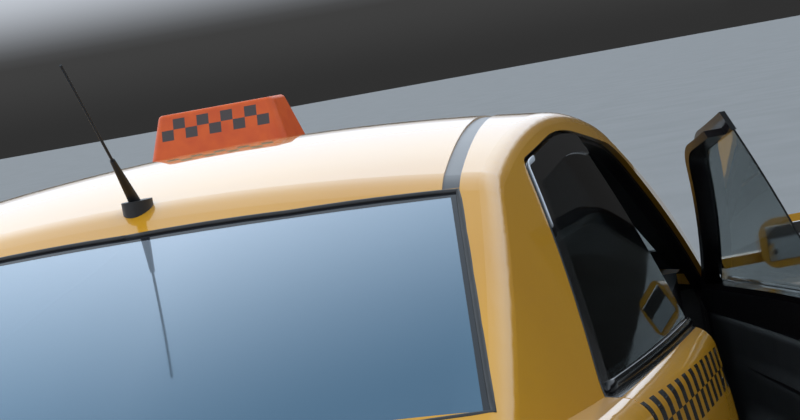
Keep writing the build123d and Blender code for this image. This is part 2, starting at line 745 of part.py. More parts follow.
socket = tube(on_kingpin(BALL_Z - 16), on_kingpin(BALL_Z + 10), 25)
socket_hole = tube(on_kingpin(BALL_Z - 40), on_kingpin(BALL_Z + 40), 9 + FIT)
subframe_part = subframe.part + socket + mirror(socket, Plane.XZ) - socket_hole - mirror(socket_hole, Plane.XZ)
keep("front_subframe", subframe_part)
with BuildPart() as rear_axle:
    bits = [tube((REAR_AXLE_X + 110, -560, 270), (REAR_AXLE_X + 110, 560, 270), 38)]
    for side in (1, -1):
        bits.append(tube((-1052, side * 560, 270), (REAR_AXLE_X, side * 560, TYRE_R), 26))
        bits.append(tube((REAR_AXLE_X, side * 540, TYRE_R), (REAR_AXLE_X, side * SPINDLE_END_Y, TYRE_R), 28))
        bits.append(tube((REAR_AXLE_X + 110, side * 400, 300), (REAR_AXLE_X + 110, side * 400, 372 - FIT), 48))
    for bit in bits:
        add(bit)
keep("rear_axle", rear_axle.part)

# Cabin
seat_bits = []
for side in (1, -1):
    with BuildPart() as seat:
        with BuildSketch(Plane.XZ.offset(-side * 375 - 230)) as profile:
            with BuildLine():
                Polyline((60, 236 + FIT), (520, 236 + FIT), (560, 300), (590, 440), (560, 480), (160, 440), (40, 560),
                         (-80, 980), (-120, 1010), (-170, 1000), (-160, 900), (-40, 380), close=True)
            make_face()
            fillet(profile.vertices(), 24)
        extrude(amount=460)
        fillet(seat.edges().filter_by(Axis.Y, reverse=True).group_by(Axis.Y)[0], 22)
        fillet(seat.edges().filter_by(Axis.Y, reverse=True).group_by(Axis.Y)[-1], 22)
    seat_bits.append(seat.part)
keep("front_seats", Compound(seat_bits))
bench = side_view_block(
    [(-520, 237), (-500, 420), (-540, 470), (-880, 440), (-1000, 940), (-1050, 960), (-1062, 940), (-1012, 640),
     (-963, 240), (-963, 237)],
    (-640, 640),
)
keep("rear_bench", (bench & cabin) - house_blocks - rear_floor_block - box_between((-1100, -500), (-135, 135), (200, 332)))
WHEEL_CENTRE = (600, 370, 800)
WHEEL_TILT = 65
away = (sin(radians(WHEEL_TILT)), -cos(radians(WHEEL_TILT)))


def on_column(distance):
    """Point of the steering column at a distance ahead of the steering wheel's middle."""
    return WHEEL_CENTRE[0] + away[0] * distance, WHEEL_CENTRE[1], WHEEL_CENTRE[2] + away[1] * distance


dash_shape = side_view_block(
    [(975.7, 560), (975.7, 901.5), (1060, 923.3), (1050, 938), (800, 925), (740, 880), (720, 760), (800, 640),
     (860, 560)],
    (-690, 690),
)
keep("dashboard", dash_shape - tube(on_column(20), on_column(340), 22 + FIT))
with BuildPart() as steering_wheel:
    with BuildSketch(Plane.XZ):
        with Locations((185, 0)):
            Circle(14)
    revolve(axis=Axis.Z)
    with Locations((0, 0, -6)):
        Cylinder(48, 30)
    for turn in (0, 120, 240):
        with Locations(Location((0, 0, 0), (0, 0, turn + 90))):
            Box(176, 26, 12, align=(Align.MIN, Align.CENTER, Align.CENTER))
keep("steering_wheel", steering_wheel.part.moved(Location(WHEEL_CENTRE, (0, -WHEEL_TILT, 0))), "steering_wheel")
keep("steering_column", tube(on_column(21 + FIT), on_column(330), 22))

# Roof pieces
SIGN_X = 82
SIGN_Y = 118
SIGN_TURN = -3.2
SIGN_Z = 1461
SIGN_HEIGHT = 93
with BuildPart() as sign_base:
    with BuildSketch(Plane.XY.offset(SIGN_Z - 40)):
        RectangleRounded(156, 314, 20)
    extrude(amount=40)
with BuildPart() as sign:
    with BuildSketch(Plane.XY.offset(SIGN_Z + FIT)):
        RectangleRounded(150, 308, 18)
    with BuildSketch(Plane.XY.offset(SIGN_Z + SIGN_HEIGHT)):
        RectangleRounded(98, 258, 14)
    loft()
    fillet(sign.faces().sort_by(Axis.Z)[-1].edges(), 10)
sign_place = Location((SIGN_X, SIGN_Y, 0), (0, 0, SIGN_TURN))
keep("sign_base", sign_base.part.moved(sign_place) - form(0))
keep("roof_sign", sign.part.moved(sign_place))
ANTENNA_X = -895
ANTENNA_Z = 1409
MAST_LEAN = 43
MAST_LENGTH = 340
lean = (-sin(radians(MAST_LEAN)), cos(radians(MAST_LEAN)))


def on_mast(distance):
    """Point of the leaning mast at a distance from its foot."""
    return ANTENNA_X + lean[0] * distance, 0, ANTENNA_Z + lean[1] * distance


with BuildPart() as antenna_base:
    with BuildSketch(Plane.XY.offset(ANTENNA_Z - 25)):
        Ellipse(36, 25)
    extrude(amount=37)
foot = antenna_base.part.moved(Location((ANTENNA_X, 0, 0))) - form(0)
with BuildPart(Plane(origin=on_mast(0), z_dir=(lean[0], 0, lean[1]))) as mast:
    Cone(11, 4.5, 118, align=(Align.CENTER, Align.CENTER, Align.MIN))
    Cylinder(2.4, MAST_LENGTH, align=(Align.CENTER, Align.CENTER, Align.MIN))
keep("antenna", foot + (mast.part - form(0)))

# Door mirrors
with BuildPart() as housing:
    with BuildSketch(Plane.YZ.offset(700)):
        with Locations((half_width_at(740) + 82, 1010)):
            RectangleRounded(170, 118, 40)
    with BuildSketch(Plane.YZ.offset(800)):
        with Locations((half_width_at(740) + 72, 1005)):
            RectangleRounded(120, 76, 34)
    loft()
door_mirror = housing.part + (box_between((752, 800), (700, 890), (966, 990)) - form(0))
keep("door_mirror_left", door_mirror, "door_front_left")
keep("door_mirror_right", mirror(door_mirror, Plane.XZ), "door_front_right")

# Open the right front door, move the car so that its outline is centred, and write every piece
hinge_x, hinge_y = HINGE["front"]
swing = Location((hinge_x, -hinge_y, 0)) * Location((0, 0, 0), (0, 0, DOOR_OPEN_DEG)) * Location((-hinge_x, hinge_y, 0))
os.makedirs("parts", exist_ok=True)
for name, (shape, body) in pieces.items():
    place = Location((0, CENTRE_Y, 0))
    if body == "door_front_right":
        place = place * swing
    solids = [solid.moved(place) for solid in shape.solids()]
    piece = Compound(children=solids) if len(solids) > 1 else solids[0]
    piece.label = name
    export_step(piece, f"parts/{name}.step")
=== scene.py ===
"""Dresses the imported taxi: paint with its checker band, glass, rubber, cabin trim, light and camera.

Metres, in the frame of the CAD: X forward, Y left, Z up. The car's own middle plane stands at y = CENTRE_Y.
"""
import math

import bmesh
import bpy
from mathutils import Matrix, Vector


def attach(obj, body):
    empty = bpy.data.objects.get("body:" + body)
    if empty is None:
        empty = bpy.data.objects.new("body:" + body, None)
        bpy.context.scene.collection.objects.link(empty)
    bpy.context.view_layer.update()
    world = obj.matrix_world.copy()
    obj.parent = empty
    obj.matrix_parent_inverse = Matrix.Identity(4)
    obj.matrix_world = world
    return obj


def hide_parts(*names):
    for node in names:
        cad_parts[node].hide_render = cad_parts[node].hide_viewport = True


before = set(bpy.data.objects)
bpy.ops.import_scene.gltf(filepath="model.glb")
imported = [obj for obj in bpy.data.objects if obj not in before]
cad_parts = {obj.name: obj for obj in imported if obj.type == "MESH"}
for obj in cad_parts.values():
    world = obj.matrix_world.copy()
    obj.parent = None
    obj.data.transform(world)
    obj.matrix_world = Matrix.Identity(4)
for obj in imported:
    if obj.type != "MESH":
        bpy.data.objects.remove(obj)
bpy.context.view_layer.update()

# Places of the car, as in the CAD
CENTRE_Y = 0.066
FRONT_HINGE = (0.9545, -0.8450 + CENTRE_Y)
DOOR_OPEN = math.radians(16)
FRONT_AXLE_X = 1.345
REAR_AXLE_X = -1.255
TRACK_HALF = 0.740
TYRE_R = 0.305
SIGN_AT = (0.082, 0.118 + CENTRE_Y, 1.461)
SIGN_TURN = math.radians(-3.2)

# The photograph's view: eye, turn to the left of forward, dip, roll and focal length for its width
EYE = (-4.242, -1.178 + CENTRE_Y, 1.546)
EYE_YAW = math.radians(12.43)
EYE_DIP = math.radians(3.56)
EYE_ROLL = math.radians(10.28)
FOCAL_PX = 2109
PICTURE_WIDTH = 800
SENSOR_MM = 36

# Checker band: height of its upper edge at x = 0, slope, square size
BAND_TOP = 0.908
BAND_SLOPE = -0.075
BAND_SQUARE = 0.042
BAND_PITCH = 0.040

# Lower edge of the side glass: height at x = 0 and slope, and how far black paint reaches under it
SILL_AT_0 = 0.968
SILL_SLOPE = -0.0442
BELT_STRIP = 0.016

# Side of the lower body: half width at its widest height, its bow upward and its bow lengthwise
BODY_HALF = 0.868
WIDEST_Z = 0.64
BODY_BOW = 0.295
BODY_PLAN = 38
PAINT_DEPTH = 0.015

# Side of the greenhouse: half width at its middle height, its lean and curve, and its radius in plan
CABIN_HALF = 0.711
CABIN_MID_Z = 1.18
CABIN_LEAN = -0.3917
CABIN_CURVE = -0.195
CABIN_PLAN_R = 10.0
CABIN_REAR_X = -1.03
BELT_Z = 0.93

# Rear glass: front edge at the middle and its bow, side edge and its slope, printed rim, clearness, and the
# heights between which its painted sky reflection turns its colour from darker to paler, which fall by a
# slope away from a line off its middle
GLASS_FRONT_X = -0.980
GLASS_FRONT_BOW = 0.1313
GLASS_SIDE = 0.3855
GLASS_SIDE_SLOPE = 0.1771
EDGE_PRINT = 0.016
GLASS_CLEARNESS = 0.35
PAINTED_SKY_FROM_Z = 1.06
PAINTED_SKY_TO_Z = 1.36
PAINTED_SKY_SLOPE = 0.13
PAINTED_SKY_OFF_MIDDLE = 0.10


def linear(value):
    """A display value from 0 to 1 as the linear value that shaders take."""
    return value / 12.92 if value <= 0.04045 else ((value + 0.055) / 1.055) ** 2.4


def srgb(*display):
    """A colour read as 0 to 255 display values, as linear values."""
    return tuple(linear(value / 255) for value in display)


class Shader:
    """A material's node tree with short ways to add and join nodes."""

    def __init__(self, name, colour, roughness, **inputs):
        self.mat = bpy.data.materials.new(name)
        self.mat.use_nodes = True
        self.tree = self.mat.node_tree
        self.bsdf = self.tree.nodes["Principled BSDF"]
        self.bsdf.inputs["Base Color"].default_value = (*colour, 1)
        self.bsdf.inputs["Roughness"].default_value = roughness
        for key, value in inputs.items():
            self.bsdf.inputs[key.replace("_", " ")].default_value = value

    def node(self, kind, **settings):
        made = self.tree.nodes.new(kind)
        for key, value in settings.items():
            if hasattr(made, key):
                setattr(made, key, value)
            else:
                made.inputs[key.replace("_", " ")].default_value = value
        return made

    def link(self, out, into):
        self.tree.links.new(out, into)

    def place(self):
        """The point's place in the row frame."""
        return self.node("ShaderNodeTexCoord").outputs["Object"]

    def math(self, operation, a, b=None):
        made = self.node("ShaderNodeMath", operation=operation)
        for i, value in enumerate((a, b)):
            if value is None:
                continue
            if isinstance(value, (int, float)):
                made.inputs[i].default_value = value
            else:
                self.link(value, made.inputs[i])
        return made.outputs[0]

    def squared(self, a):
        return self.math("POWER", a, 2.0)

    def along(self, a, slope, start):
        """start + slope * a"""
        out = self.math("MULTIPLY_ADD", a, slope)
        out.node.inputs[2].default_value = start
        return out

    def all_of(self, first, *rest):
        """1 where every mask is 1."""
        for mask in rest:
            first = self.math("MULTIPLY", first, mask)
        return first

    def noise(self, scale, detail=4):
        made = self.node("ShaderNodeTexNoise")
        made.inputs["Scale"].default_value = scale
        made.inputs["Detail"].default_value = detail
        self.link(self.place(), made.inputs["Vector"])
        return made.outputs["Fac"]

    def between(self, fac, low, high, to_low, to_high):
        made = self.node("ShaderNodeMapRange")
        self.link(fac, made.inputs["Value"])
        for key, value in (("From Min", low), ("From Max", high), ("To Min", to_low), ("To Max", to_high)):
            made.inputs[key].default_value = value
        return made.outputs["Result"]

    def mix(self, fac, a, b):
        """A colour between a and b, each a colour or a socket."""
        made = self.node("ShaderNodeMix", data_type="RGBA")
        self.link(fac, made.inputs[0])
        for i, value in ((6, a), (7, b)):
            if isinstance(value, tuple):
                made.inputs[i].default_value = (*value, 1)
            else:
                self.link(value, made.inputs[i])
        return made.outputs[2]

    def vary_colour(self, a, b, scale, low=0.35, high=0.65):
        fac = self.between(self.noise(scale), low, high, 0, 1)
        self.link(self.mix(fac, a, b), self.bsdf.inputs["Base Color"])

    def vary_roughness(self, scale, a, b):
        self.link(self.between(self.noise(scale), 0.3, 0.7, a, b), self.bsdf.inputs["Roughness"])

    def bump(self, height, strength, distance):
        made = self.node("ShaderNodeBump")
        made.inputs["Strength"].default_value = strength
        made.inputs["Distance"].default_value = distance
        self.link(height, made.inputs["Height"])
        self.link(made.outputs["Normal"], self.bsdf.inputs["Normal"])


YELLOW = srgb(196, 140, 8)
YELLOW_DEEP = srgb(186, 130, 6)
INK = srgb(22, 21, 22)
TRIM_DARK = srgb(26, 22, 24)
FRAME_BLACK = srgb(14, 14, 15)
LINING = srgb(150, 148, 142)


def local_place(s, turned):
    """Socket pairs (place, normal) on the car, read as with the right front door shut if turned."""
    place = s.place()
    normal = s.node("ShaderNodeNewGeometry").outputs["Normal"]
    if turned:
        for is_normal in (False, True):
            turn = s.node("ShaderNodeVectorRotate", rotation_type="Z_AXIS")
            s.link(normal if is_normal else place, turn.inputs["Vector"])
            turn.inputs["Center"].default_value = (0, 0, 0) if is_normal else (*FRONT_HINGE, 0)
            turn.inputs["Angle"].default_value = -DOOR_OPEN
            if is_normal:
                normal = turn.outputs[0]
            else:
                place = turn.outputs[0]
    xyz = s.node("ShaderNodeSeparateXYZ")
    s.link(place, xyz.inputs[0])
    nrm = s.node("ShaderNodeSeparateXYZ")
    s.link(normal, nrm.inputs[0])
    return xyz.outputs, nrm.outputs


def checker_squares(s, spot):
    """1 on the dark squares of the band."""
    top = s.along(spot["X"], BAND_SLOPE, BAND_TOP)
    row = s.math("DIVIDE", s.math("SUBTRACT", top, spot["Z"]), BAND_SQUARE)
    inside = s.all_of(s.math("GREATER_THAN", row, 0.0), s.math("LESS_THAN", row, 2.0))
    column = s.math("FLOOR", s.math("DIVIDE", spot["X"], BAND_PITCH))
    even = s.math("FLOORED_MODULO", s.math("ADD", column, s.math("FLOOR", row)), 2.0)
    return s.all_of(inside, s.math("LESS_THAN", even, 0.5))


def cabin_faces(s, spot, facing, across):
    """1 on the faces of body sides and doors that look into the cabin, 0 on their outer skin."""
    wide = s.math("ABSOLUTE", across)
    ahead = s.math("GREATER_THAN", spot["X"], CABIN_REAR_X)
    bow = s.math("MULTIPLY", s.squared(s.math("SUBTRACT", spot["Z"], WIDEST_Z)), BODY_BOW)
    plan = s.math("DIVIDE", s.squared(spot["X"]), BODY_PLAN)
    limit = s.math("SUBTRACT", s.math("SUBTRACT", BODY_HALF - PAINT_DEPTH, bow), plan)
    lower = s.all_of(s.math("LESS_THAN", wide, limit), s.math("LESS_THAN", spot["Z"], BELT_Z), ahead)
    rise = s.math("SUBTRACT", spot["Z"], CABIN_MID_Z)
    curve = s.math("MULTIPLY", s.squared(rise), CABIN_CURVE)
    lean = s.math("ADD", s.math("MULTIPLY", rise, CABIN_LEAN), curve)
    plan = s.math("DIVIDE", s.squared(spot["X"]), 2 * CABIN_PLAN_R)
    limit = s.math("SUBTRACT", s.math("ADD", lean, CABIN_HALF), plan)
    upper = s.all_of(s.math("LESS_THAN", wide, limit), ahead, s.math("GREATER_THAN", spot["Z"], BELT_Z),
                     s.math("LESS_THAN", facing["Z"], 0.5))
    outward = s.math("MULTIPLY", facing["Y"], s.math("SIGN", across))
    inward = s.math("LESS_THAN", outward, -0.25)
    return s.math("MAXIMUM", s.math("MAXIMUM", lower, upper), inward)


def paint(name, checker=False, turned=False, cabin="", frames=False):
    """Yellow coach paint under clear lacquer. It carries the checker band, black window frames and the trim
    colour of its cabin faces where asked."""
    s = Shader(name, YELLOW, 0.42, Coat_Weight=1.0, Coat_Roughness=0.04, Specular_IOR_Level=0.25)
    colour = s.mix(s.between(s.noise(1.7), 0.35, 0.65, 0, 1), YELLOW, YELLOW_DEEP)
    spot, facing = local_place(s, turned)
    across = s.math("SUBTRACT", spot["Y"], CENTRE_Y)
    if checker:
        colour = s.mix(checker_squares(s, spot), colour, INK)
    if frames:
        black = s.math("GREATER_THAN", spot["Z"], s.along(spot["X"], SILL_SLOPE, SILL_AT_0 - BELT_STRIP))
        colour = s.mix(black, colour, FRAME_BLACK)
        s.link(s.between(black, 0, 1, 0.42, 0.22), s.bsdf.inputs["Roughness"])
    if cabin == "roof":
        colour = s.mix(s.math("LESS_THAN", facing["Z"], -0.2), colour, LINING)
    if cabin == "side":
        inner = cabin_faces(s, spot, facing, across)
        colour = s.mix(inner, colour, TRIM_DARK)
        s.link(s.between(inner, 0, 1, 1.0, 0.0), s.bsdf.inputs["Coat Weight"])
    s.link(colour, s.bsdf.inputs["Base Color"])
    s.bump(s.noise(900, 2), 0.03, 0.0003)
    return s.mat


def glass(name, tint, roughness=0.012):
    s = Shader(name, tint, roughness, Transmission_Weight=1.0, IOR=1.5)
    s.vary_roughness(6, roughness, roughness + 0.03)
    return s.mat


def plastic(name, a, b, roughness, grain=700, depth=0.0003, strength=0.25):
    s = Shader(name, a, roughness)
    s.vary_colour(a, b, 14)
    s.bump(s.noise(grain, 3), strength, depth)
    return s.mat


def metal(name, a, b, roughness, metallic=1.0):
    s = Shader(name, a, roughness, Metallic=metallic)
    s.vary_colour(a, b, 9)
    s.vary_roughness(40, roughness * 0.8, roughness * 1.3)
    s.bump(s.noise(500, 3), 0.1, 0.0003)
    return s.mat


PAINT = paint("yellow_paint")
PAINT_ROOF = paint("yellow_paint_roof", cabin="roof")
PAINT_BODY = paint("yellow_paint_body_side", cabin="side")
PAINT_DOOR = paint("yellow_paint_door", checker=True, cabin="side", frames=True)
PAINT_OPEN = paint("yellow_paint_open_door", checker=True, turned=True, cabin="side", frames=True)
GLASS_DARK = glass("dark_glass", srgb(52, 56, 58))
GLASS_CLEAR = glass("clear_glass", srgb(196, 206, 206))


def rear_glass():
    """Blue heat-reflecting glass with a printed black edge. Its colour is painted paler at its head and
    darker towards its foot, as a painted sky reflection.
    """
    # The paler head colour and the darker foot colour are a painted sky reflection, not a tint of the glass
    sky_lit_head, foot = srgb(192, 204, 217), srgb(99, 130, 152)
    s = Shader("rear_glass", foot, 0.05, Metallic=0.6, Transmission_Weight=GLASS_CLEARNESS, IOR=1.6)
    spot, facing = local_place(s, False)
    across = s.math("SUBTRACT", spot["Y"], CENTRE_Y)
    wide = s.math("ABSOLUTE", across)
    bow = s.math("MULTIPLY", s.squared(wide), GLASS_FRONT_BOW)
    front = s.math("GREATER_THAN", s.math("SUBTRACT", spot["X"], bow), GLASS_FRONT_X - EDGE_PRINT)
    reach = s.math("ADD", wide, s.math("MULTIPLY", spot["X"], GLASS_SIDE_SLOPE))
    side = s.math("GREATER_THAN", reach, GLASS_SIDE - EDGE_PRINT)
    printed = s.math("MAXIMUM", front, side)
    # Painted sky reflection: the colour grows paler with height, starting lower away from a line off the
    # middle
    off_middle = s.math("ABSOLUTE", s.math("ADD", across, PAINTED_SKY_OFF_MIDDLE))
    rise = s.math("SUBTRACT", spot["Z"], s.math("MULTIPLY", off_middle, PAINTED_SKY_SLOPE))
    share = s.math("POWER", s.between(rise, PAINTED_SKY_FROM_Z, PAINTED_SKY_TO_Z, 0, 1), 1.5)
    s.link(s.mix(printed, s.mix(share, foot, sky_lit_head), srgb(30, 32, 36)), s.bsdf.inputs["Base Color"])
    s.link(s.between(printed, 0, 1, GLASS_CLEARNESS, 0.0), s.bsdf.inputs["Transmission Weight"])
    s.link(s.between(printed, 0, 1, 0.6, 0.0), s.bsdf.inputs["Metallic"])
    s.vary_roughness(5, 0.035, 0.07)
    return s.mat


REAR_GLASS = rear_glass()
BLACK = plastic("black_moulded_plastic", srgb(22, 22, 23), srgb(34, 34, 35), 0.5)
GLOSS_BLACK = plastic("gloss_black_trim", srgb(12, 12, 13), srgb(20, 20, 21), 0.16, strength=0.05)
TRIM = plastic("dark_cabin_trim", srgb(30, 29, 31), srgb(42, 41, 43), 0.6)
UNDER = plastic("underbody_coating", srgb(30, 30, 31), srgb(44, 43, 42), 0.75, 160, 0.002, 0.5)
RUBBER = plastic("tyre_rubber", srgb(30, 30, 31), srgb(42, 41, 40), 0.72, grain=300, depth=0.001)
RIM = metal("silver_wheel_paint", srgb(168, 170, 173), srgb(150, 152, 156), 0.32)
CAST = metal("cast_metal", srgb(92, 92, 94), srgb(66, 66, 68), 0.55)
MOULD = plastic("roof_moulding", srgb(58, 59, 62), srgb(50, 51, 54), 0.30, strength=0.05)
# Strip at the rear doors' upper window corner: its light grey colour is a painted highlight
PAINTED_HIGHLIGHT_STRIP = plastic("painted_highlight_strip", srgb(190, 196, 204), srgb(178, 184, 192), 0.30, strength=0.05)
LAMP_RED = Shader("red_lamp_lens", srgb(150, 10, 12), 0.08, Coat_Weight=1.0, Transmission_Weight=0.25)
LAMP_CLEAR = Shader("clear_lamp_lens", srgb(226, 230, 234), 0.05, Coat_Weight=1.0, Transmission_Weight=0.55)
MIRROR = metal("mirror_glass", srgb(220, 224, 226), srgb(214, 218, 222), 0.04)
RUBBER_SEAL = plastic("rubber_seal", srgb(26, 26, 27), srgb(36, 36, 37), 0.5, grain=400, strength=0.1)
PLATE = plastic("blank_plate", srgb(226, 226, 222), srgb(216, 216, 212), 0.35, strength=0.05)
CLOTH = Shader("seat_cloth", srgb(38, 38, 42), 0.9, Sheen_Weight=0.3)
CLOTH.vary_colour(srgb(36, 36, 40), srgb(52, 52, 56), 420)
CLOTH.bump(CLOTH.noise(900, 2), 0.5, 0.0008)


SIGN_SQUARE = 0.027
SIGN_ROW = 0.022
SIGN_ROWS_LOW = 0.038
SIGN_SQUARES_HALF = 4.5


def sign_shader():
    """Orange moulded sign with two rows of dark squares on its front and rear faces."""
    orange, deep = srgb(198, 82, 14), srgb(188, 72, 12)
    s = Shader("orange_sign", orange, 0.45, Specular_IOR_Level=0.35)
    turn = s.node("ShaderNodeVectorRotate", rotation_type="Z_AXIS")
    s.link(s.place(), turn.inputs["Vector"])
    turn.inputs["Center"].default_value = SIGN_AT
    turn.inputs["Angle"].default_value = -SIGN_TURN
    local = s.node("ShaderNodeVectorMath", operation="SUBTRACT")
    s.link(turn.outputs[0], local.inputs[0])
    local.inputs[1].default_value = SIGN_AT
    xyz = s.node("ShaderNodeSeparateXYZ")
    s.link(local.outputs[0], xyz.inputs[0])
    row = s.math("FLOOR", s.math("DIVIDE", s.math("SUBTRACT", xyz.outputs["Z"], SIGN_ROWS_LOW), SIGN_ROW))
    in_rows = s.math("MULTIPLY", s.math("GREATER_THAN", row, -0.5), s.math("LESS_THAN", row, 1.5))
    column = s.math("ROUND", s.math("DIVIDE", xyz.outputs["Y"], SIGN_SQUARE))
    even = s.math("FLOORED_MODULO", s.math("ADD", column, row), 2.0)
    in_width = s.math("LESS_THAN", s.math("ABSOLUTE", xyz.outputs["Y"]), SIGN_SQUARES_HALF * SIGN_SQUARE)
    face = s.node("ShaderNodeNewGeometry")
    normal = s.node("ShaderNodeSeparateXYZ")
    s.link(face.outputs["Normal"], normal.inputs[0])
    fore_aft = s.math("GREATER_THAN", s.math("ABSOLUTE", normal.outputs["X"]), 0.75)
    dark = s.all_of(in_rows, in_width, s.math("LESS_THAN", even, 0.5), fore_aft)
    colour = s.mix(s.between(s.noise(30), 0.35, 0.65, 0, 1), orange, deep)
    s.link(s.mix(dark, colour, srgb(62, 54, 54)), s.bsdf.inputs["Base Color"])
    s.bump(s.noise(500, 2), 0.06, 0.0004)
    return s.mat


SIGN = sign_shader()

FINISHES = {
    "body_side_": PAINT_BODY,
    "door_front_right": PAINT_OPEN,
    "door_mirror": PAINT,
    "door_glass_rear": GLASS_DARK,
    "door_glass_front": GLASS_CLEAR,
    "door_": PAINT_DOOR,
    "front_wings": PAINT,
    "bonnet": PAINT,
    "boot_lid": PAINT,
    "roof_panel": PAINT_ROOF,
    "front_bumper": PAINT,
    "rear_bumper": PAINT,
    "parcel_shelf": PAINT,
    "tail_panel": PAINT,
    "windscreen": GLASS_CLEAR,
    "rear_window": REAR_GLASS,
    "headlamps": LAMP_CLEAR.mat,
    "tail_lamps": LAMP_RED.mat,
    "grille": GLOSS_BLACK,
    "roof_sign": SIGN,
    "sign_base": BLACK,
    "antenna": BLACK,
    "ditch_mouldings": MOULD,
    "tyre": RUBBER,
    "rim": RIM,
    "front_seats": CLOTH.mat,
    "rear_bench": CLOTH.mat,
    "dashboard": TRIM,
    "steering": TRIM,
    "cowl_panel": BLACK,
    "engine_block": CAST,
}
for name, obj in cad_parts.items():
    finish = next((mat for start, mat in FINISHES.items() if name.startswith(start)), UNDER)
    obj.data.materials.clear()
    obj.data.materials.append(finish)


# Shape of the body as in the CAD, for the pieces that lie on it
ROOF_LINE = [
    (-1.560, 1.057), (-1.260, 1.226), (-0.948, 1.387), (-0.915, 1.401), (-0.880, 1.411), (-0.350, 1.470),
    (0.250, 1.425), (0.330, 1.405), (0.400, 1.377), (0.800, 1.193), (1.240, 0.975),
]
ROOF_AXIS_Z = 1.471 - 4.300
SIDE_ARC = [(0.832, 0.850), (0.724, 1.180), (0.594, 1.470)]


def circle_through(a, b, c):
    """Centre and radius of the circle through three points."""
    (ax, ay), (bx, by), (cx, cy) = a, b, c
    d = 2 * (ax * (by - cy) + bx * (cy - ay) + cx * (ay - by))
    ux = ((ax**2 + ay**2) * (by - cy) + (bx**2 + by**2) * (cy - ay) + (cx**2 + cy**2) * (ay - by)) / d
    uy = ((ax**2 + ay**2) * (cx - bx) + (bx**2 + by**2) * (ax - cx) + (cx**2 + cy**2) * (bx - ax)) / d
    return ux, uy, math.hypot(ax - ux, ay - uy)


def roof_z(x, across):
    """Height of the roof, rear glass or screen at x, across from the middle plane."""
    for i in range(0, len(ROOF_LINE) - 2, 2):
        a, b, c = ROOF_LINE[i : i + 3]
        if x <= c[0] or i == len(ROOF_LINE) - 3:
            ux, uy, r = circle_through(a, b, c)
            middle = uy + math.sqrt(max(r * r - (x - ux) ** 2, 0))
            break
    return ROOF_AXIS_Z + math.sqrt((middle - ROOF_AXIS_Z) ** 2 - across**2)


def cabin_half(x, z):
    """How far the side of the greenhouse stands from the middle plane."""
    ux, uz, r = circle_through(*SIDE_ARC)
    return ux + math.sqrt(r * r - (z - uz) ** 2) - x * x / (2 * CABIN_PLAN_R)


def body_half(x, z):
    """How far the side of the lower body stands from the middle plane."""
    return BODY_HALF - BODY_BOW * (z - WIDEST_Z) ** 2 - x * x / BODY_PLAN


def add_piece(name, bm, material, body, smooth=True, subdivide=0, place=None):
    """A mesh in the car's frame with the doors shut, put in place, given its material and set to ride."""
    mesh = bpy.data.meshes.new(name)
    if place is not None:
        bm.transform(place)
    bm.transform(Matrix.Translation((0, CENTRE_Y, 0)))
    if body == "door_front_right":
        hinge = Matrix.Translation((*FRONT_HINGE, 0))
        bm.transform(hinge @ Matrix.Rotation(DOOR_OPEN, 4, "Z") @ hinge.inverted())
    bmesh.ops.recalc_face_normals(bm, faces=bm.faces)
    bm.to_mesh(mesh)
    bm.free()
    for face in mesh.polygons:
        face.use_smooth = smooth
    obj = bpy.data.objects.new(name, mesh)
    bpy.context.scene.collection.objects.link(obj)
    mesh.materials.append(material)
    if subdivide:
        modifier = obj.modifiers.new("rounding", "SUBSURF")
        modifier.levels = modifier.render_levels = subdivide
    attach(obj, body)
    return obj


def block(size, bevel=0.004, segments=3):
    """A block about the origin with rounded edges."""
    bm = bmesh.new()
    bmesh.ops.create_cube(bm, size=1)
    bmesh.ops.scale(bm, vec=size, verts=bm.verts)
    bmesh.ops.bevel(bm, geom=bm.edges[:], offset=bevel, segments=segments, profile=0.5, affect="EDGES")
    return bm


def join(*parts):
    """One mesh from several, each with its own place."""
    whole = bmesh.new()
    for part, place in parts:
        mesh = bpy.data.meshes.new("part")
        part.transform(place)
        part.to_mesh(mesh)
        part.free()
        whole.from_mesh(mesh)
        bpy.data.meshes.remove(mesh)
    return whole


def at(x, y, z, turn_y=0.0, turn_z=0.0, turn_x=0.0):
    """A place with turns in degrees about X, then Y, then Z."""
    made = Matrix.Translation((x, y, z))
    for axis, turn in (("Z", turn_z), ("Y", turn_y), ("X", turn_x)):
        made = made @ Matrix.Rotation(math.radians(turn), 4, axis)
    return made


def both_sides():
    """Each side's name and the sign of its Y."""
    return (("left", 1), ("right", -1))


def sweep(points, radius, flat=1.0, closed=False, sides=8):
    """A rod with an oval section along points."""
    bm = bmesh.new()
    rings = []
    count = len(points)
    points = [Vector(p) for p in points]
    for i, p in enumerate(points):
        ahead = points[(i + 1) % count] if closed else points[min(i + 1, count - 1)]
        behind = points[i - 1] if closed or i else points[0]
        way = (ahead - behind).normalized()
        out = way.cross(Vector((0, 0, 1)))
        out = out.normalized() if out.length > 0.2 else Vector((0, 1, 0))
        up = out.cross(way).normalized()
        ring = []
        for k in range(sides):
            a = 2 * math.pi * k / sides
            ring.append(bm.verts.new(p + out * math.cos(a) * radius * flat + up * math.sin(a) * radius))
        rings.append(ring)
    for i in range(count if closed else count - 1):
        a, b = rings[i], rings[(i + 1) % count]
        for k in range(sides):
            bm.faces.new((a[k], a[(k + 1) % sides], b[(k + 1) % sides], b[k]))
    if not closed:
        bm.faces.new(rings[0])
        bm.faces.new(rings[-1])
    return bm


def lathe(profile, steps, radius_at=None):
    """A surface of revolution about Y from (y, radius) points; radius_at may change a radius by angle."""
    bm = bmesh.new()
    rings = []
    for i in range(steps):
        a = 2 * math.pi * i / steps
        ring = []
        for y, r in profile:
            rr = radius_at(i, y, r) if radius_at else r
            ring.append(bm.verts.new((rr * math.cos(a), y, rr * math.sin(a))))
        rings.append(ring)
    for i in range(steps):
        a, b = rings[i], rings[(i + 1) % steps]
        for k in range(len(profile) - 1):
            bm.faces.new((a[k], a[k + 1], b[k + 1], b[k]))
    return bm


